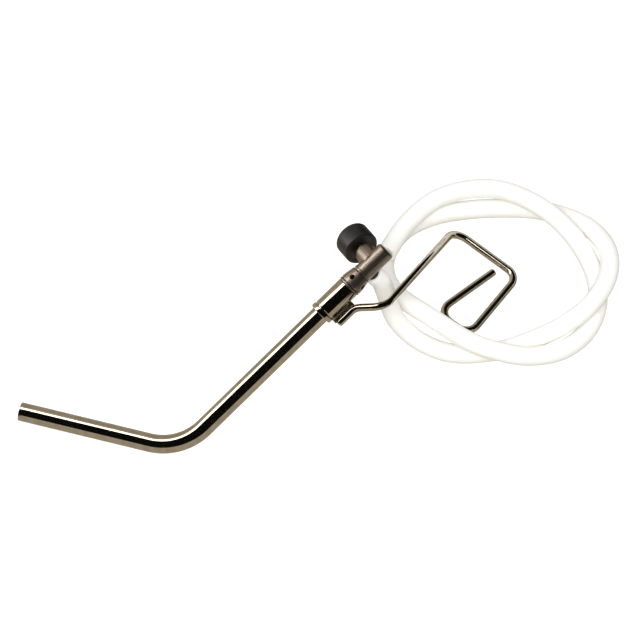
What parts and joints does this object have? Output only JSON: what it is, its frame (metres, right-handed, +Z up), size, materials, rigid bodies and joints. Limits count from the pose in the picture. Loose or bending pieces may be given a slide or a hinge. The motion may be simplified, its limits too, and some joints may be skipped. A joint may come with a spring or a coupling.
{
  "type": "bunsen burner",
  "caption": "Hand-held gas burner: bent nickel tube on a small needle valve with a knob, wire foot and white hose.",
  "frame": {"origin": "on the table, under the middle of the metal parts' box, the hose left out", "axes": "+Z up from the table; +X from the flame end towards the valve and foot; +Y the way the knob side leans"},
  "size_m": [0.3853, 0.1949, 0.0866],
  "materials": {
    "mirror_nickel": "bright nickel plate, mirror polished",
    "satin_nickel": "satin nickel plate, turned",
    "brass": "turned brass",
    "steel": "machined steel",
    "solder": "brazed and nickel plated",
    "black_plastic": "moulded black plastic, half matt",
    "seal_rubber": "black sealing rubber",
    "white_silicone": "white silicone rubber, smooth extruded"
  },
  "bodies": {
    "burner": {"burner_tube": "mirror_nickel", "socket_sleeve": "mirror_nickel", "foot_saddle": "solder", "wire_foot": "mirror_nickel", "air_body": "satin_nickel", "valve_body": "satin_nickel", "gas_jet": "brass", "jet_washer": "seal_rubber", "hose_barb": "satin_nickel", "gland_nut": "satin_nickel", "hose": "white_silicone"},
    "air_regulator": {"air_ring": "satin_nickel"},
    "seal_ride": {"spindle_seal": "seal_rubber"},
    "knob_and_spindle": {"spindle": "brass", "knob": "black_plastic", "knob_insert": "brass", "knob_screw": "steel"}
  },
  "joints": [
    {"name": "air_ring_turn", "type": "hinge", "parent": "burner", "child": "air_regulator", "pos_m": [0.05449, 0.00642, 0.07028], "axis": [0.7141, 0.564, 0.4147], "range_deg": [0, 45]},
    {"name": "spindle_travel", "type": "slide", "parent": "burner", "child": "seal_ride", "axis": [-0.4932, 0.8257, -0.2736], "range_m": [0, 0.0015]},
    {"name": "knob_turn", "type": "hinge", "parent": "seal_ride", "child": "knob_and_spindle", "pos_m": [0.05584, 0.03179, 0.07132], "axis": [-0.4932, 0.8257, -0.2736], "range_deg": [0, 540]}
  ],
  "couplings": [
    {"joint": "spindle_travel", "follows": "knob_turn", "m_per_rad": 0.00015915}
  ]
}
